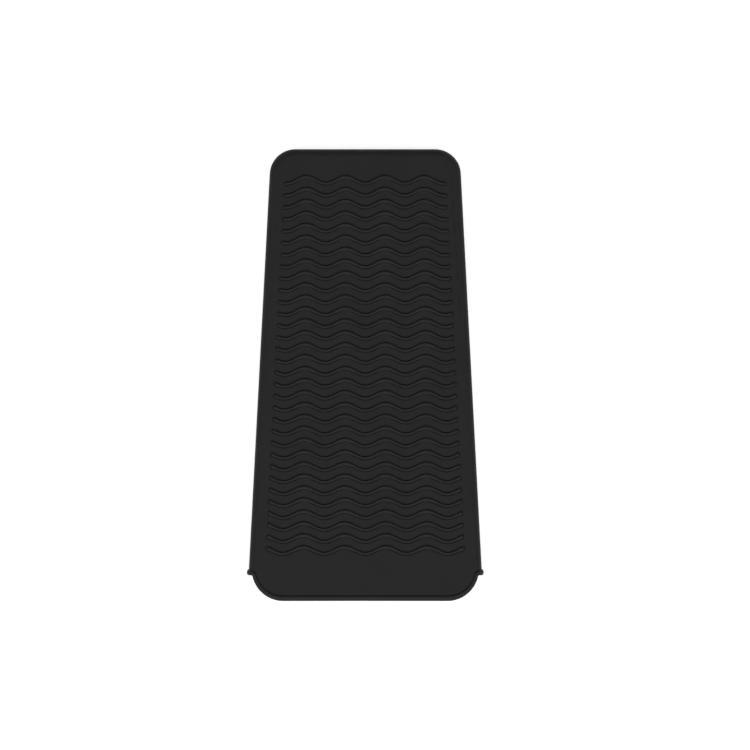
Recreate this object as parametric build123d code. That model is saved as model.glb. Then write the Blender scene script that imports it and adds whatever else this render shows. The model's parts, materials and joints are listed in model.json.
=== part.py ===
from build123d import *
import math
import os

# A moulded silicone sleeve for hot hair tools. It lies on its back face on a table:
# X is its width, Y its length with the mouth at -Y, and +Z points out of the front face.
# The moulding is one skin, split here into the regions it is made of. Millimetres.

# Driving dimensions of the plan shape
LENGTH = 284.0  # tip of the lips to the closed end
END_WIDTH = 118.6  # across the closed end
MOUTH_WIDTH = 146.6  # across the side walls at the mouth
END_CORNER_R = 16.0
LIP_HALF_WIDTH = 70.8  # at the hinge line, over the bead
LIP_CORNER_R = 20.0

# Driving dimensions through the thickness
WALL = 2.0
POCKET_DEPTH = 16.0  # clear space between the two panels
RIB_HEIGHT = 1.2  # the rim bead stands as proud as the ribs
EDGE_R = 5.0  # outside round between a panel and a wall
BEAD_WIDTH = 3.8
BEAD_ROUND = 1.0
CLEARANCE = 0.3  # between a lip and the sleeve's body

# Driving dimensions of the wave ribs
RIB_COUNT = 32
RIB_PITCH = 7.5
FIRST_RIB_Y = 124.1  # mean line of the upper edge of the rib nearest the closed end
FIRST_RIB_HALF = 51.3
LAST_RIB_HALF = 62.6
FIRST_WAVE = 24.6  # wavelength at the closed end
LAST_WAVE = 25.9  # wavelength at the mouth
UPPER_AMPLITUDE = 2.06
LOWER_AMPLITUDE = 1.56  # the rib is narrower in its troughs than on its crests
RIB_MEAN_WIDTH = 2.6
POINTS_PER_WAVE = 8

# Worked-out places
END_Y = LENGTH / 2
TIP_Y = -LENGTH / 2
MOUTH_Y = TIP_Y + 20.0  # the panels and walls end here
HINGE_Y = MOUTH_Y - WALL / 2 - CLEARANCE
BEAD_END_Y = MOUTH_Y - BEAD_WIDTH
SLOPE = (MOUTH_WIDTH - END_WIDTH) / 2 / (END_Y - HINGE_Y)
HEIGHT = POCKET_DEPTH + 2 * (WALL + RIB_HEIGHT)
MID_Z = HEIGHT / 2
SKIN_LOW = RIB_HEIGHT
SKIN_HIGH = HEIGHT - RIB_HEIGHT
FRONT_INSIDE = SKIN_HIGH - WALL
FAR = 400.0


def half_width(y):
    """Half the outside width of the body at a place along its length."""
    return END_WIDTH / 2 + (END_Y - y) * SLOPE


def plan(inset):
    """The tapered outline, moved inwards by inset and run on past the mouth."""
    low = TIP_Y - 20
    lean = math.hypot(1, SLOPE)
    top = END_Y - inset
    corners = [
        (half_width(low) - inset * lean, low),
        (half_width(top) - inset * lean, top),
        (-half_width(top) + inset * lean, top),
        (-half_width(low) + inset * lean, low),
    ]
    outline = make_face(Polyline(*corners, close=True))
    ends = outline.vertices().sort_by(Axis.Y)[-2:]
    return fillet(ends, END_CORNER_R - inset)


def slab(face, low, high):
    """A plan face given a height, from low to high."""
    return extrude(Pos(0, 0, low) * face, high - low, dir=(0, 0, 1))


def pillow(inset, low, high, radius):
    """The outline as a solid whose upper and lower edges are rounded."""
    solid = slab(plan(inset), low, high)
    rims = solid.edges().group_by(Axis.Z)
    return fillet(rims[0] + rims[-1], radius)


def block(x0, x1, y0, y1, z0, z1):
    """A box between two corners."""
    centre = ((x0 + x1) / 2, (y0 + y1) / 2, (z0 + z1) / 2)
    return Pos(*centre) * Box(x1 - x0, y1 - y0, z1 - z0)


def corner_centre():
    """The centre of the round at the closed end's +X corner."""
    y = END_Y - END_CORNER_R
    return half_width(y) - END_CORNER_R * math.hypot(1, SLOPE), y


def corner_wedge(side):
    """The part of the plan that one rounded corner takes up."""
    x, y = corner_centre()
    points = [
        (side * x, y),
        (side * (x + FAR), y + FAR * SLOPE),
        (side * (x + FAR), y + FAR),
        (side * x, y + FAR),
    ]
    return slab(make_face(Polyline(*points, close=True)), 0, HEIGHT)


def body_regions():
    """The panels, side walls, end wall and corners, cut from one hollow skin."""
    outside = pillow(0, SKIN_LOW, SKIN_HIGH, EDGE_R)
    inside = pillow(WALL, SKIN_LOW + WALL, FRONT_INSIDE, EDGE_R - WALL)
    skin = outside - inside - block(-FAR, FAR, -FAR, MOUTH_Y, 0, HEIGHT)
    core = slab(plan(EDGE_R), 0, HEIGHT)
    panels = skin & core
    rim = skin - core
    wedges = {side: corner_wedge(side) for side in (-1, 1)}
    end_x = corner_centre()[0]
    end_slot = block(-end_x, end_x, 0, FAR, 0, HEIGHT)
    regions = {
        "front_panel": panels & block(-FAR, FAR, -FAR, FAR, MID_Z, HEIGHT),
        "back_panel": panels & block(-FAR, FAR, -FAR, FAR, 0, MID_Z),
        "closed_end_wall": rim & end_slot,
    }
    for side, name in ((-1, "left"), (1, "right")):
        half = block(min(0, side * FAR), max(0, side * FAR), -FAR, FAR, 0, HEIGHT)
        regions[f"{name}_end_corner"] = rim & wedges[side]
        regions[f"{name}_side_wall"] = (rim & half) - wedges[side] - end_slot
    return regions


def stands_out(point):
    """How far a point is outside the plain wall's surface, in the body's cross-section."""
    across = point.X - (half_width(point.Y) - EDGE_R)
    up = abs(point.Z - MID_Z) - (POCKET_DEPTH / 2 + WALL - EDGE_R)
    return math.hypot(across, max(0, up)) - EDGE_R


def side_mouth_bead(side):
    """The bead that rims the mouth round the end of one side wall."""
    proud = pillow(-RIB_HEIGHT, 0, HEIGHT, EDGE_R + RIB_HEIGHT)
    hollow = pillow(WALL, SKIN_LOW + WALL, FRONT_INSIDE, EDGE_R - WALL)
    near = LIP_HALF_WIDTH + CLEARANCE
    bead = (proud - hollow) & block(near, FAR, BEAD_END_Y, MOUTH_Y, 0, HEIGHT)
    faces = bead.edges().group_by(Axis.Y)
    rims = [e for e in faces[0] + faces[-1] if stands_out(e @ 0.5) > RIB_HEIGHT / 2]
    bead = fillet(rims, BEAD_ROUND)
    return bead if side > 0 else mirror(bead, about=Plane.YZ)


def lip_outline(inset):
    """The lip's plan from the hinge line to its tip, moved inwards by inset."""
    half = LIP_HALF_WIDTH - inset
    tip = TIP_Y + inset
    points = [(-half, 0), (-half, tip), (half, tip), (half, 0)]
    outline = make_face(Polyline(*points, close=True))
    tongue = fillet(outline.vertices().sort_by(Axis.Y)[:2], LIP_CORNER_R - inset)
    return tongue - Pos(0, HINGE_Y + FAR / 2) * Rectangle(FAR, FAR)


def front_lip():
    """The flexible lip in front of the mouth: a flat tongue with a round hinge edge, and its bead."""
    inner = lip_outline(BEAD_WIDTH)
    tongue = slab(inner, FRONT_INSIDE, SKIN_HIGH)
    half = LIP_HALF_WIDTH - BEAD_WIDTH
    axis_z = SKIN_HIGH - WALL / 2
    knuckle = Pos(0, HINGE_Y, axis_z) * Rot(0, 90, 0) * Cylinder(WALL / 2, 2 * half)
    bead = slab(lip_outline(0) - inner, FRONT_INSIDE, HEIGHT)
    start = HINGE_Y - CLEARANCE - WALL / 2
    bead = bead & block(-FAR, FAR, TIP_Y - 1, start, 0, HEIGHT)
    outer_rims = [
        edge
        for edge in bead.edges().group_by(Axis.Z)[-1]
        if edge.center().Y < start - 0.01
    ]
    bead = fillet(outer_rims, BEAD_ROUND)
    return {"front_lip_panel": tongue + knuckle, "front_lip_bead": bead}


def rib_edge(x, wave, amplitude):
    """How far a rib's edge stands from its mean line: a trough on the centre line."""
    return -amplitude * math.cos(2 * math.pi * x / wave)


def wave_rib(index):
    """One raised rib that waves across the front panel, with round ends."""
    share = index / (RIB_COUNT - 1)
    upper_y = FIRST_RIB_Y - index * RIB_PITCH
    lower_y = upper_y - RIB_MEAN_WIDTH
    half = FIRST_RIB_HALF + share * (LAST_RIB_HALF - FIRST_RIB_HALF)
    wave = FIRST_WAVE + share * (LAST_WAVE - FIRST_WAVE)
    end = half - RIB_MEAN_WIDTH / 2
    steps = round(2 * end / wave * POINTS_PER_WAVE)
    places = [-end + 2 * end * i / steps for i in range(steps + 1)]
    upper = [(x, upper_y + rib_edge(x, wave, UPPER_AMPLITUDE)) for x in places]
    lower = [(x, lower_y + rib_edge(x, wave, LOWER_AMPLITUDE)) for x in places]
    end_y = (upper[0][1] + lower[0][1]) / 2
    edges = [
        Spline(*upper),
        Spline(*lower),
        ThreePointArc(upper[0], (-half, end_y), lower[0]),
        ThreePointArc(upper[-1], (half, end_y), lower[-1]),
    ]
    return slab(make_face(edges), SKIN_HIGH, HEIGHT)


def behind(shape):
    """The same region on the back: a mirror image in the sleeve's middle plane."""
    return mirror(shape, about=Plane.XY.offset(MID_Z))


def main():
    os.makedirs("parts", exist_ok=True)
    nodes = body_regions()
    nodes["left_mouth_bead"] = side_mouth_bead(-1)
    nodes["right_mouth_bead"] = side_mouth_bead(1)
    nodes["front_wave_ribs"] = Compound([wave_rib(i) for i in range(RIB_COUNT)])
    nodes.update(front_lip())
    for name in ("wave_ribs", "lip_panel", "lip_bead"):
        nodes[f"back_{name}"] = behind(nodes[f"front_{name}"])
    for name, shape in nodes.items():
        export_step(shape, f"parts/{name}.step")


main()
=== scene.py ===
import json
import math

import bmesh
import bpy
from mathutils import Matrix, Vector


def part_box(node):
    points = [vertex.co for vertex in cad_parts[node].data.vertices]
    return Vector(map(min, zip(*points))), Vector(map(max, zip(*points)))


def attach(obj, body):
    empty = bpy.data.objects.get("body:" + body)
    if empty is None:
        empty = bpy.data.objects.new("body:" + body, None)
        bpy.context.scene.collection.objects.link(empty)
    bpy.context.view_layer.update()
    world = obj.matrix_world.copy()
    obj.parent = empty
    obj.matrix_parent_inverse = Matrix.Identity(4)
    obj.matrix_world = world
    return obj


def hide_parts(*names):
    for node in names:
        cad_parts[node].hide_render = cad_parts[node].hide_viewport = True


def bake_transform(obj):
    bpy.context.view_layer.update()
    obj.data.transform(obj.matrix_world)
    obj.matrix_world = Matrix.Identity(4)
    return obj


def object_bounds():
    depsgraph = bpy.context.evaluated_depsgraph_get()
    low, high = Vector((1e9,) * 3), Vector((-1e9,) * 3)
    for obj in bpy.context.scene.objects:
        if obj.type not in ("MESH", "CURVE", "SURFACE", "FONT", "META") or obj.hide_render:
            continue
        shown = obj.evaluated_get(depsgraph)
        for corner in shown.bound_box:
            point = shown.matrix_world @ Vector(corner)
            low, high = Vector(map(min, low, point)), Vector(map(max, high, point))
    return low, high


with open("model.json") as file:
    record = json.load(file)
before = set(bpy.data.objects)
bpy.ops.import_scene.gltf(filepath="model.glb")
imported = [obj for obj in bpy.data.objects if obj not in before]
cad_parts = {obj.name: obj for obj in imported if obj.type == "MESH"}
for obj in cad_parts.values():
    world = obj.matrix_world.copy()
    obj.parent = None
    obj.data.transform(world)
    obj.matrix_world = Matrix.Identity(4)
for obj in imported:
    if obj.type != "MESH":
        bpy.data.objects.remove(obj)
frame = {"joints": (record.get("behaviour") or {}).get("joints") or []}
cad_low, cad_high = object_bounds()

# The looks of a moulded silicone sleeve for hot hair tools. It lies on its back: X is the
# width, the mouth is at -Y, and +Z points out of the front face. Blender works in metres.

MM = 0.001
MERGE = 0.002 * MM  # points nearer than this become one
QUARTER = math.pi / 2

# Taken from the frame
FRONT_LOW, FRONT_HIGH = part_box("front_panel")
EAR_LOW, EAR_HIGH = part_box("right_mouth_bead")
SKIN_TOP = FRONT_HIGH.z
SKIN_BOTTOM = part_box("right_side_wall")[0].z
WALL = FRONT_HIGH.z - FRONT_LOW.z
CROWN_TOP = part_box("front_wave_ribs")[1].z
RIB_HEIGHT = CROWN_TOP - SKIN_TOP
MID_Z = CROWN_TOP / 2
END_Y = cad_high.y
TIP_Y = cad_low.y
MOUTH_Y = FRONT_LOW.y
EAR_Y = (EAR_LOW.y + EAR_HIGH.y) / 2
HINGE = next(j for j in frame["joints"] if j["name"] == "front_lip_flex")["pos_m"]

# The outline of the body and of the lips beyond its mouth
END_HALF = 59.3 * MM
MOUTH_HALF = 73.3 * MM
SLOPE = (MOUTH_HALF - END_HALF) / (END_Y - HINGE[1])
LEAN = math.hypot(1, SLOPE)
END_TURN = QUARTER - math.atan(SLOPE)  # how far the outline turns at a closed-end corner
END_CORNER_R = 16 * MM
EDGE_R = 5 * MM
LIP_HALF = 71.3 * MM
LIP_CORNER_R = 19.7 * MM
SHOULDER = 1.2 * MM  # the face reaches the lip's full width this far beyond the ears

# The seam between the face skins and the wall runs this far inside the outline, on the flat
SEAM_INSET = EDGE_R + 1 * MM
CORNER_STEPS = 14
EDGE_STEPS = 8
BIG_FACE = 0.01  # square metres, more than any face but the two large ones
CUT_MARGIN = 2 * MM  # no cut across the face comes nearer than this to its ends

# The rolled bead of the mouth: narrow beside the notch, wider along the lip's front
BEAD_HALF_HEIGHT = (WALL + RIB_HEIGHT) / 2
BEAD_SIDE_HALF = 1.3 * MM
BEAD_FRONT_HALF = 1.75 * MM
BEAD_EAR_HALF = 1.85 * MM
BEAD_SQUARENESS = 2.6  # exponent of the section's superellipse, 2 is an ellipse
BEAD_RING = 20
NOTCH_ANGLE = math.radians(11.7)  # where the bead leaves the lip's corner arc for the ear
NOTCH_R = 2.4 * MM
EAR_TURN = math.radians(38)  # how far up the edge round the ear itself reaches
EAR_OVERLAP = 0.8  # the lip's bead starts this share of the way up, inside the ear
ROUND_X = MOUTH_HALF - EDGE_R  # the centre of the edge round at the mouth
ROUND_Z = SKIN_TOP - EDGE_R
BEAD_R = EDGE_R - WALL + BEAD_HALF_HEIGHT  # from that centre to the bead's

# The wave ribs
RIB_COUNT = 32
RIB_PITCH = 7.5 * MM
FIRST_RIB_Y = 123.75 * MM
FIRST_RIB_HALF = 51.3 * MM
LAST_RIB_HALF = 62.6 * MM
FIRST_WAVE = 24.6 * MM
LAST_WAVE = 25.9 * MM
UPPER_AMPLITUDE = 2.06 * MM
LOWER_AMPLITUDE = 1.56 * MM
RIB_WIDTH = 3.6 * MM  # at the foot, halfway between a trough and a crest
UPPER_RUN = 0.95 * MM  # the steep flank towards the closed end
UPPER_RUN_SWING = 0.15 * MM  # this flank is wider in the troughs than on the crests
LOWER_RUN = 1.65 * MM  # the flank towards the mouth
LOWER_RUN_SWING = 0.55 * MM  # and this one is wider on the crests
CROWN_FALL = 0.18  # the crown drops by this share of its height towards the mouth
END_FLARE = 0.45 * MM  # a rib swells by this much at its ends
FLARE_RUN = 4.5 * MM  # and over this length
FOOT_SUNK = 0.08 * MM  # the ribs' open rims are buried in the skin by this much
STEPS_PER_WAVE = 20
ACROSS_STEPS = 14
END_CAP_STEPS = 6

# Softness of the front skin, which nothing holds up between the side walls
SAG_MOUTH = 2.2 * MM
SAG_END = 0.5 * MM
SAG_SET_IN = 0.2  # share of the length, from the closed end, over which the sag sets in

# What stands proud is painted paler and made glossier, partly as wear from hands and tools and
# partly as a painted highlight: from 0.4 of a rib's height, and fully at 0.9
HIGHLIGHT_AND_WEAR_FROM = 0.4
HIGHLIGHT_AND_WEAR_OVER = 0.5

# The lip bends beyond the ears, which the side walls hold still
BEND_START = EAR_Y - 1 * MM
BEND_END = EAR_Y - 7 * MM


# ---------------------------------------------------------------- modelling helpers


def start_clean():
    """Leave edit mode and deselect everything, because operators act on what is selected."""
    if bpy.context.object and bpy.context.object.mode != "OBJECT":
        bpy.ops.object.mode_set(mode="OBJECT")
    bpy.ops.object.select_all(action="DESELECT")


def name_it(piece, name):
    """Give a piece and its mesh the same name."""
    piece.name = name
    piece.data.name = name
    return piece


def add_box(name, low, high):
    """A box between two corners, left in edit mode with its place in its mesh."""
    start_clean()
    centre = (Vector(low) + Vector(high)) / 2
    bpy.ops.mesh.primitive_cube_add(size=1, location=centre)
    box = bpy.context.object
    box.scale = Vector(high) - Vector(low)
    bpy.ops.object.transform_apply(location=True, rotation=True, scale=True)
    name_it(box, name)
    bpy.ops.object.mode_set(mode="EDIT")
    return box


def pick(piece, kind, wanted):
    """In edit mode, select the verts, edges or faces that pass a test."""
    mode = {"verts": "VERT", "edges": "EDGE", "faces": "FACE"}[kind]
    bpy.ops.mesh.select_mode(type=mode)
    bpy.ops.mesh.select_all(action="DESELECT")
    shape = bmesh.from_edit_mesh(piece.data)
    for element in getattr(shape, kind):
        element.select = wanted(element)
    shape.select_flush_mode()
    bmesh.update_edit_mesh(piece.data)


def is_upright(edge):
    """Whether an edge runs through the thickness rather than round the outline."""
    a, b = (v.co for v in edge.verts)
    return abs(a.z - b.z) > abs(a.x - b.x) + abs(a.y - b.y)


def cut_across(places):
    """Cut the whole mesh at places along the sleeve's length."""
    for y in places:
        bpy.ops.mesh.select_all(action="SELECT")
        bpy.ops.mesh.bisect(plane_co=(0, y, 0), plane_no=(0, 1, 0))


def cut_along(shares):
    """Cut the whole mesh lengthwise. A share of 0 is the middle and 1 the seam, and the cuts
    spread as the sleeve widens, so none runs into the seam at a sliver of an angle."""
    for share in shares:
        x = share * (half_width(0) - SEAM_INSET * LEAN)
        bpy.ops.mesh.select_all(action="SELECT")
        bpy.ops.mesh.bisect(plane_co=(x, 0, 0), plane_no=(1, share * SLOPE, 0))


def spaced(low, high, count):
    """Evenly spaced values from low to high, both counted."""
    return [low + (high - low) * i / (count - 1) for i in range(count)]


def round_corners(radius, turn):
    """In edit mode, round the selected upright edges, at which the outline turns by turn."""
    bpy.ops.mesh.bevel(
        offset=radius * math.tan(turn / 2),
        segments=CORNER_STEPS,
        affect="EDGES",
        clamp_overlap=False,
    )


def take_up(*pieces):
    """Select only these pieces, with the first one active."""
    start_clean()
    for piece in pieces:
        piece.select_set(True)
    bpy.context.view_layer.objects.active = pieces[0]


def join(parts, name):
    """Join finished parts into one piece."""
    take_up(*parts)
    bpy.ops.object.join()
    return name_it(bpy.context.object, name)


def smooth(piece, degrees):
    """Shade smoothly over edges that turn by less than this."""
    take_up(piece)
    bpy.ops.object.shade_smooth_by_angle(angle=math.radians(degrees))


def point_outwards(piece):
    """Merge doubled points and turn every face to the outside."""
    take_up(piece)
    bpy.ops.object.mode_set(mode="EDIT")
    bpy.ops.mesh.select_all(action="SELECT")
    bpy.ops.mesh.remove_doubles(threshold=MERGE)
    bpy.ops.mesh.normals_make_consistent(inside=False)
    bpy.ops.object.mode_set(mode="OBJECT")


def twin_behind(piece, name):
    """A copy with its own mesh, mirrored to the back of the sleeve."""
    twin = piece.copy()
    twin.data = piece.data.copy()
    bpy.context.collection.objects.link(twin)
    for vertex in twin.data.vertices:
        vertex.co.z = 2 * MID_Z - vertex.co.z
    twin.data.flip_normals()
    return name_it(twin, name)


# ---------------------------------------------------------------- the sleeve's form


def half_width(y):
    """Half the body's outside width at a place along its length."""
    return END_HALF + (END_Y - y) * SLOPE


def ease(share):
    """A smooth rise from 0 to 1."""
    share = min(1, max(0, share))
    return share * share * (3 - 2 * share)


def sag(x, y):
    """How far the front skin hangs at a place: nothing at its seams, most at the mouth."""
    edge = half_width(max(y, HINGE[1])) - SEAM_INSET
    across = max(0, 1 - (x / edge) ** 2) ** 2
    along = (END_Y - SEAM_INSET - y) / (END_Y - TIP_Y)
    depth = SAG_END + (SAG_MOUTH - SAG_END) * along
    return depth * across * ease(along / SAG_SET_IN)


def mark_crown(piece):
    """Store on the mesh where the silicone stands proud of the skin, as those places rub and
    are painted with a highlight.
    """
    crown = piece.data.attributes.new("crown", "FLOAT", "POINT")
    for vertex in piece.data.vertices:
        proud = (vertex.co.z - SKIN_TOP) / RIB_HEIGHT
        crown.data[vertex.index].value = ease((proud - HIGHLIGHT_AND_WEAR_FROM) / HIGHLIGHT_AND_WEAR_OVER)


def let_sag(piece):
    """Lower a piece of the front with the skin that it belongs to."""
    for vertex in piece.data.vertices:
        vertex.co.z -= sag(vertex.co.x, vertex.co.y)


def perimeter_wall():
    """The side walls and closed end in one run, with their rounded long edges."""
    half = half_width(EAR_Y)
    wall = add_box("perimeter_wall", (-half, EAR_Y, SKIN_BOTTOM), (half, END_Y, SKIN_TOP))
    pick(wall, "verts", lambda v: v.co.y > 0)
    bpy.ops.transform.resize(value=(END_HALF / half, 1, 1), center_override=(0, 0, 0))
    pick(wall, "edges", lambda e: is_upright(e) and e.verts[0].co.y > 0)
    round_corners(END_CORNER_R, END_TURN)
    pick(wall, "edges", lambda e: not is_upright(e) and max(v.co.y for v in e.verts) > 0)
    bpy.ops.mesh.bevel(
        offset=EDGE_R, segments=EDGE_STEPS, affect="EDGES", clamp_overlap=False
    )
    pick(wall, "faces", lambda f: f.normal.y < -0.99)
    bpy.ops.mesh.delete(type="FACE")
    pick(wall, "faces", lambda f: abs(f.normal.z) > 0.999 and f.calc_area() > BIG_FACE)
    bpy.ops.mesh.inset(thickness=SEAM_INSET - EDGE_R, use_boundary=False)
    bpy.ops.mesh.delete(type="FACE")
    bpy.ops.object.mode_set(mode="OBJECT")
    skin = wall.modifiers.new("wall", "SOLIDIFY")
    skin.thickness = WALL
    skin.offset = -1
    skin.use_even_offset = True
    bpy.ops.object.modifier_apply(modifier=skin.name)
    smooth(wall, 35)
    return wall


def face_plate():
    """The flat skin of the front with its lip, from seam to seam."""
    lip_half = LIP_HALF - BEAD_SIDE_HALF
    top = END_Y - SEAM_INSET
    tip = TIP_Y + BEAD_FRONT_HALF
    plate = add_box("face_plate", (-lip_half, tip, FRONT_LOW.z), (lip_half, top, SKIN_TOP))
    pick(plate, "edges", lambda e: is_upright(e) and e.verts[0].co.y < 0)
    round_corners(LIP_CORNER_R - BEAD_FRONT_HALF, QUARTER)
    cut_across([EAR_Y, EAR_Y - SHOULDER])
    for end in (top, EAR_Y):
        pick(plate, "verts", lambda v: abs(v.co.y - end) < 0.01 * MM)
        share = (half_width(end) - SEAM_INSET * LEAN) / lip_half
        bpy.ops.transform.resize(value=(share, 1, 1), center_override=(0, 0, 0))
    pick(plate, "edges", lambda e: is_upright(e) and e.verts[0].co.y > 0)
    round_corners(END_CORNER_R - SEAM_INSET, END_TURN)
    # Cuts for the lip's bend, the rest of the lip, and the sag along and across the face
    cut_across(spaced(BEND_START, BEND_END, 14))
    cut_across(spaced(BEND_END - CUT_MARGIN, tip + CUT_MARGIN, 4))
    cut_across(spaced(MOUTH_Y, top - CUT_MARGIN, 42))
    cut_along(spaced(-0.95, 0.95, 24))
    bpy.ops.object.mode_set(mode="OBJECT")
    return plate


def lip_bead_plan():
    """The bead's centre line over the front in plan, with its half width, from ear to ear."""
    centre = Vector((LIP_HALF - LIP_CORNER_R, TIP_Y + LIP_CORNER_R))

    def on_lip(angle):
        """A place on the lip's corner arc, by its angle below the sideways direction."""
        share = angle / QUARTER
        half = BEAD_SIDE_HALF + (BEAD_FRONT_HALF - BEAD_SIDE_HALF) * ease(share)
        reach = LIP_CORNER_R - half
        return centre + reach * Vector((math.cos(angle), -math.sin(angle))), half

    joint, joint_half = on_lip(NOTCH_ANGLE)
    aside = Vector((math.cos(NOTCH_ANGLE), -math.sin(NOTCH_ANGLE)))
    turn_centre = joint + NOTCH_R * aside
    # From inside the ear straight in to the notch
    ear_x = ROUND_X + math.cos(EAR_TURN * EAR_OVERLAP) * BEAD_R
    ear_y = turn_centre.y + NOTCH_R
    in_to_notch = spaced(ear_x, turn_centre.x, 6)[:-1]
    right = [(Vector((x, ear_y)), BEAD_EAR_HALF) for x in in_to_notch]
    # Round the notch and on to the lip's corner
    turn = QUARTER - NOTCH_ANGLE
    for i in range(11):
        angle = QUARTER + turn * i / 10
        place = turn_centre + NOTCH_R * Vector((math.cos(angle), math.sin(angle)))
        half = BEAD_EAR_HALF + (joint_half - BEAD_EAR_HALF) * ease(i / 10)
        right.append((place, half))
    right += [on_lip(angle) for angle in spaced(NOTCH_ANGLE, QUARTER, 25)[1:]]
    # Along the front to the middle
    front_x = spaced(centre.x, 0, 13)[1:]
    right += [(Vector((x, TIP_Y + BEAD_FRONT_HALF)), BEAD_FRONT_HALF) for x in front_x]
    left = [(Vector((-p.x, p.y)), half) for p, half in reversed(right[:-1])]
    return right + left


def ring_tube(name, stations):
    """A closed tube with a flattened section, whose width changes along it. A station is a
    place, the section's upward direction, its sideways direction and its half width."""
    points = []
    for place, up, aside, half in stations:
        for k in range(BEAD_RING):
            angle = 2 * math.pi * k / BEAD_RING
            c, s = math.cos(angle), math.sin(angle)
            u = math.copysign(abs(c) ** (2 / BEAD_SQUARENESS), c) * half
            v = math.copysign(abs(s) ** (2 / BEAD_SQUARENESS), s) * BEAD_HALF_HEIGHT
            points.append(place + aside * u + up * v)
    faces = [tuple(range(BEAD_RING))]
    for i in range(len(stations) - 1):
        for k in range(BEAD_RING):
            n = (k + 1) % BEAD_RING
            a, b = i * BEAD_RING, (i + 1) * BEAD_RING
            faces.append((a + k, a + n, b + n, b + k))
    last = (len(stations) - 1) * BEAD_RING
    faces.append(tuple(range(last, last + BEAD_RING)))
    mesh = bpy.data.meshes.new(name)
    mesh.from_pydata(points, [], faces)
    tube = bpy.data.objects.new(name, mesh)
    bpy.context.collection.objects.link(tube)
    point_outwards(tube)
    smooth(tube, 50)
    return tube


def lip_bead():
    """The bead along the front lip, over the edge rounds to the ears at both sides."""
    places = []
    for p, half in lip_bead_plan():
        over = max(0, abs(p.x) - ROUND_X)
        z = ROUND_Z + math.sqrt(BEAD_R**2 - over**2)
        side = math.copysign(over, p.x)
        up = Vector((side, 0, z - ROUND_Z)).normalized()
        places.append((Vector((p.x, p.y, z)), up, half))
    stations = []
    for i, (place, up, half) in enumerate(places):
        before = places[max(0, i - 1)][0]
        after = places[min(len(places) - 1, i + 1)][0]
        along = (after - before).normalized()
        aside = along.cross(up).normalized()
        stations.append((place, aside.cross(along).normalized(), aside, half))
    return ring_tube("lip_bead", stations)


def ear(side, name):
    """The bead round the end of one side wall, from the front's edge round to the back's."""
    stations = []
    y = lip_bead_plan()[0][0].y
    aside = Vector((0, 1, 0))
    for sign in (1, -1):
        centre_z = MID_Z + sign * (ROUND_Z - MID_Z)
        turns = spaced(EAR_TURN, 0, 8) if sign > 0 else spaced(0, EAR_TURN, 8)
        for turn in turns:
            up = Vector((side * math.cos(turn), 0, sign * math.sin(turn)))
            place = Vector((side * ROUND_X, y, centre_z)) + up * BEAD_R
            stations.append((place, up, aside, BEAD_EAR_HALF))
    return ring_tube(name, stations)


# ---------------------------------------------------------------- the wave ribs


def wave_rib(index):
    """One raised rib. A grid is laid along it and pushed into its wave and its section."""
    share = index / (RIB_COUNT - 1)
    row_y = FIRST_RIB_Y - index * RIB_PITCH
    half = FIRST_RIB_HALF + share * (LAST_RIB_HALF - FIRST_RIB_HALF)
    wave = FIRST_WAVE + share * (LAST_WAVE - FIRST_WAVE)
    # Columns crowd together in the round ends
    cap = RIB_WIDTH / 2
    caps = [cap * (1 - math.cos(QUARTER * i / END_CAP_STEPS)) for i in range(END_CAP_STEPS)]
    steps = round(2 * (half - cap) / wave * STEPS_PER_WAVE)
    middle = spaced(cap - half, half - cap, steps + 1)
    places = [c - half for c in caps] + middle + [half - c for c in reversed(caps)]
    start_clean()
    bpy.ops.mesh.primitive_grid_add(
        x_subdivisions=len(places) - 1, y_subdivisions=ACROSS_STEPS, size=1
    )
    rib = bpy.context.object
    for vertex in rib.data.vertices:
        column = round((vertex.co.x + 0.5) * (len(places) - 1))
        across = 0.5 - vertex.co.y
        x = places[column]
        phase = math.cos(2 * math.pi * x / wave)  # 1 in a trough and -1 on a crest
        upper = -UPPER_AMPLITUDE * phase
        width = RIB_WIDTH + (LOWER_AMPLITUDE - UPPER_AMPLITUDE) * phase
        width += END_FLARE * (1 - ease((half - abs(x)) / FLARE_RUN))
        from_end = min(1, (half - abs(x)) / cap)
        roundness = math.sqrt(max(0, 1 - (1 - from_end) ** 2))
        distance = width * across
        upper_run = UPPER_RUN + UPPER_RUN_SWING * phase
        lower_run = LOWER_RUN - LOWER_RUN_SWING * phase
        height = ease(distance / upper_run) * ease((width - distance) / lower_run)
        height *= (1 - CROWN_FALL * across) * ease(from_end * cap / upper_run)
        middle_line = upper - width / 2
        y = row_y + middle_line + (upper - distance - middle_line) * roundness
        z = SKIN_TOP - FOOT_SUNK + (RIB_HEIGHT + FOOT_SUNK) * height
        vertex.co = (x, y, z)
    bpy.ops.object.mode_set(mode="EDIT")
    bpy.ops.mesh.select_all(action="SELECT")
    bpy.ops.mesh.remove_doubles(threshold=MERGE)
    pick(rib, "edges", lambda e: e.is_boundary)
    bpy.ops.mesh.edge_face_add()
    bpy.ops.object.mode_set(mode="OBJECT")
    return rib


def wave_ribs():
    """All the ribs of one face as one piece."""
    ribs = join([wave_rib(i) for i in range(RIB_COUNT)], "front_wave_relief")
    point_outwards(ribs)
    smooth(ribs, 60)
    return ribs


# ---------------------------------------------------------------- materials


def linear(hex_colour):
    """An sRGB hex value as the linear colour that Blender mixes."""
    channels = [int(hex_colour[i : i + 2], 16) / 255 for i in (1, 3, 5)]
    curve = [c / 12.92 if c <= 0.04045 else ((c + 0.055) / 1.055) ** 2.4 for c in channels]
    return (*curve, 1)


def node(tree, kind, settings=None, inputs=None):
    """Add a node with its settings, its values and the sockets linked into it."""
    made = tree.nodes.new(kind)
    for key, value in (settings or {}).items():
        setattr(made, key, value)
    for key, value in (inputs or {}).items():
        if isinstance(value, bpy.types.NodeSocket):
            tree.links.new(value, made.inputs[key])
        else:
            made.inputs[key].default_value = value
    return made


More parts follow.
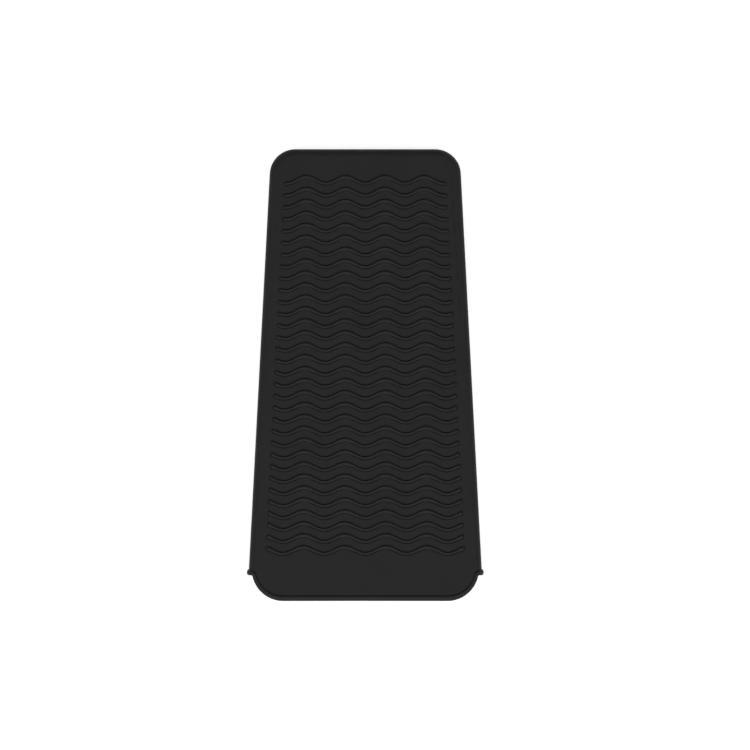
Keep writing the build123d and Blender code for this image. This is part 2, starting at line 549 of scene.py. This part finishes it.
# How wide the patterns in the silicone are, and how deep
CLOUD = 26 * MM  # clouds of filler that the mixing leaves, each about an inch across
RIPPLE = 6 * MM  # slow waves that the skin takes on as it shrinks, about three walls wide
RIPPLE_DEPTH = 0.06 * MM
GRAIN = 1.2 * MM  # the mould's blasting grit is 0.1 mm and too fine to show, so it is coarser
GRAIN_DEPTH = 0.06 * MM

# Colours of the silicone: where the filler is thick and thin, and the paler grey of the
# crowns, which is partly wear and partly a painted highlight
CARBON_BLACK = "#131313"
THIN_BLACK = "#181819"
HIGHLIGHT_AND_WEAR_GREY = "#262627"
SILICONE_IOR = 1.42
GLOSS_SWING = 0.05  # the clouds change the roughness by this much either way
RUB_POLISH = 0.12  # full rubbing takes this much off the roughness


def black_silicone(name, roughness, highlight_and_wear):
    """Matte black silicone rubber from a sandblasted steel mould: near-black with a soft,
    broad gloss, a fine even grain, faint clouds of filler, and crowns rubbed a little shinier
    and painted a paler grey, partly wear and partly a painted highlight. Silicone refracts
    little, so its gloss is weak."""
    material = bpy.data.materials.new(name)
    material.use_nodes = True
    tree = material.node_tree
    tree.nodes.clear()
    place = node(tree, "ShaderNodeTexCoord").outputs["Object"]
    cloud = node(
        tree,
        "ShaderNodeTexNoise",
        inputs={"Vector": place, "Scale": 1 / CLOUD, "Detail": 4.0, "Roughness": 0.6},
    ).outputs["Fac"]
    grain = node(
        tree,
        "ShaderNodeTexNoise",
        inputs={"Vector": place, "Scale": 1 / GRAIN, "Detail": 2.0, "Roughness": 0.55},
    ).outputs["Fac"]
    ripple = node(
        tree,
        "ShaderNodeTexNoise",
        inputs={"Vector": place, "Scale": 1 / RIPPLE, "Detail": 2.0, "Roughness": 0.5},
    ).outputs["Fac"]
    highlight_and_wear_mask = node(tree, "ShaderNodeAttribute", {"attribute_name": "crown"}).outputs["Fac"]
    crown = node(
        tree, "ShaderNodeMath", {"operation": "MULTIPLY"}, {0: highlight_and_wear_mask, 1: highlight_and_wear}
    ).outputs[0]
    base = node(
        tree,
        "ShaderNodeMix",
        {"data_type": "RGBA"},
        {"Factor": cloud, "A": linear(CARBON_BLACK), "B": linear(THIN_BLACK)},
    ).outputs["Result"]
    # Painted highlight and wear: the crowns are mixed towards a paler grey
    colour = node(
        tree,
        "ShaderNodeMix",
        {"data_type": "RGBA"},
        {"Factor": crown, "A": base, "B": linear(HIGHLIGHT_AND_WEAR_GREY)},
    ).outputs["Result"]
    gloss = node(
        tree,
        "ShaderNodeMapRange",
        inputs={
            "Value": cloud,
            "From Min": 0.3,
            "From Max": 0.7,
            "To Min": roughness - GLOSS_SWING,
            "To Max": roughness + GLOSS_SWING,
        },
    ).outputs["Result"]
    polished = node(
        tree,
        "ShaderNodeMath",
        {"operation": "MULTIPLY_ADD"},
        {0: crown, 1: -RUB_POLISH, 2: gloss},
    ).outputs[0]
    waviness = node(
        tree,
        "ShaderNodeBump",
        inputs={"Height": ripple, "Strength": 0.35, "Distance": RIPPLE_DEPTH},
    ).outputs["Normal"]
    surface = node(
        tree,
        "ShaderNodeBump",
        inputs={
            "Height": grain,
            "Normal": waviness,
            "Strength": 0.5,
            "Distance": GRAIN_DEPTH,
        },
    ).outputs["Normal"]
    shader = node(
        tree,
        "ShaderNodeBsdfPrincipled",
        inputs={
            "Base Color": colour,
            "Roughness": polished,
            "IOR": SILICONE_IOR,
            "Normal": surface,
        },
    )
    node(tree, "ShaderNodeOutputMaterial", inputs={"Surface": shader.outputs["BSDF"]})
    return material


# The floor and the backdrop look pale, but give only a little light themselves, so that the
# softboxes shape the ribs and the sleeve keeps dark edges
FLOOR_SEEN = 0.66
FLOOR_LIGHT = 0.3
BACKDROP_SEEN = 0.74
BACKDROP_LIGHT = 0.05


def seen_and_given(tree, seen, given):
    """A strength that is seen at one value but lights the sleeve with another."""
    eye = node(tree, "ShaderNodeLightPath").outputs["Is Camera Ray"]
    return node(
        tree,
        "ShaderNodeMath",
        {"operation": "MULTIPLY_ADD"},
        {0: eye, 1: seen - given, 2: given},
    ).outputs[0]


def white_floor():
    """Matt white acrylic lit a little from beneath, so that it stays pale under the sleeve."""
    material = bpy.data.materials.new("white_acrylic")
    material.use_nodes = True
    tree = material.node_tree
    shader = tree.nodes["Principled BSDF"]
    shader.inputs["Base Color"].default_value = linear("#f4f4f4")
    shader.inputs["Roughness"].default_value = 0.9
    shader.inputs["Emission Color"].default_value = (1, 1, 1, 1)
    glow = seen_and_given(tree, FLOOR_SEEN, FLOOR_LIGHT)
    tree.links.new(glow, shader.inputs["Emission Strength"])
    return material


def finish_with(piece, material):
    """Give a piece its only material."""
    piece.data.materials.clear()
    piece.data.materials.append(material)


# ---------------------------------------------------------------- the pieces

# Silicone straight from the blasted mould: the widest and faintest gloss
skin_finish = black_silicone("matte_silicone_skin", 0.64, 0.0)
# The same on the ribs, where tools and tables rub: a narrower gloss along the crowns, and a
# paler grey there that is partly wear and partly a painted highlight
rib_finish = black_silicone("rubbed_silicone_ribs", 0.54, 0.12)
# The same on the bead, which hands hold: it is rubbed most, and its crown is painted the
# palest grey, partly wear and partly a painted highlight as a pale line of light
bead_finish = black_silicone("rolled_silicone_bead", 0.56, 0.3)

wall = perimeter_wall()
finish_with(wall, skin_finish)
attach(wall, "sleeve_body")
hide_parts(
    "left_side_wall",
    "right_side_wall",
    "closed_end_wall",
    "left_end_corner",
    "right_end_corner",
)

for side, where in ((-1, "left"), (1, "right")):
    piece = ear(side, f"{where}_ear")
    finish_with(piece, bead_finish)
    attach(piece, "sleeve_body")
    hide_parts(f"{where}_mouth_bead")

# The front is copied to the back before it sags, because the back lies flat on the table
flat = face_plate()
rim = lip_bead()
ribs = wave_ribs()
for part in (rim, ribs):
    mark_crown(part)
back_flat = twin_behind(flat, "back_plate")
back_rim = twin_behind(rim, "back_rim")
back_ribs = twin_behind(ribs, "back_wave_relief")

for part in (flat, rim, ribs):
    let_sag(part)

for part in (flat, back_flat):
    smooth(part, 35)

for where, plate, bead, relief in (
    ("front", flat, rim, ribs),
    ("back", back_flat, back_rim, back_ribs),
):
    finish_with(plate, skin_finish)
    finish_with(bead, bead_finish)
    finish_with(relief, rib_finish)
    skin = join([plate, bead], f"{where}_skin")
    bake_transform(skin)
    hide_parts(f"{where}_panel", f"{where}_lip_panel", f"{where}_lip_bead")
    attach(relief, "sleeve_body")
    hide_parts(f"{where}_wave_ribs")


# ---------------------------------------------------------------- floor, light and camera

start_clean()
bpy.ops.mesh.primitive_plane_add(size=8)
floor = name_it(bpy.context.object, "floor")
floor.data.materials.append(white_floor())


def softbox(name, place, width, height, radiance):
    """A soft rectangular light that faces the sleeve."""
    lamp = bpy.data.lights.new(name, "AREA")
    lamp.shape = "RECTANGLE"
    lamp.size = width
    lamp.size_y = height
    lamp.energy = radiance * math.pi * width * height
    light = bpy.data.objects.new(name, lamp)
    light.location = place
    light.rotation_euler = (-Vector(place)).to_track_quat("-Z", "Y").to_euler()
    bpy.context.collection.objects.link(light)


softbox("overhead_softbox", (0.0, 0.0, 4.6), 4.6, 4.6, 0.48)
softbox("mouth_softbox", (0.0, -1.5, 1.5), 2.0, 1.1, 1.8)
softbox("end_softbox", (0.0, 1.3, 2.0), 2.0, 0.9, 0.5)
softbox("left_softbox", (-1.5, 0.0, 1.6), 3.0, 1.5, 1.0)
softbox("right_softbox", (1.5, 0.0, 1.6), 3.0, 1.5, 1.0)

world = bpy.data.worlds.new("studio")
world.use_nodes = True
backdrop = world.node_tree.nodes["Background"]
backdrop.inputs["Color"].default_value = (1, 1, 1, 1)
strength = seen_and_given(world.node_tree, BACKDROP_SEEN, BACKDROP_LIGHT)
world.node_tree.links.new(strength, backdrop.inputs["Strength"])
bpy.context.scene.world = world
bpy.context.scene.view_settings.view_transform = "Standard"

# The camera looks straight down at the front face, with the closed end at the top
VIEW_WIDTH = 471.6 * MM  # what it takes in, at the height of VIEW_LEVEL
VIEW_LEVEL = 0.75 * SKIN_TOP
LENS = 300  # a long lens, because the sleeve is seen with no perspective to speak of
ASIDE = 6.1 * MM  # the sleeve lies a little left of the view's middle
lens = bpy.data.cameras.new("camera")
lens.lens = LENS
camera = bpy.data.objects.new("camera", lens)
camera.location = (ASIDE, 0, VIEW_LEVEL + VIEW_WIDTH * LENS / lens.sensor_width)
bpy.context.collection.objects.link(camera)
bpy.context.scene.camera = camera
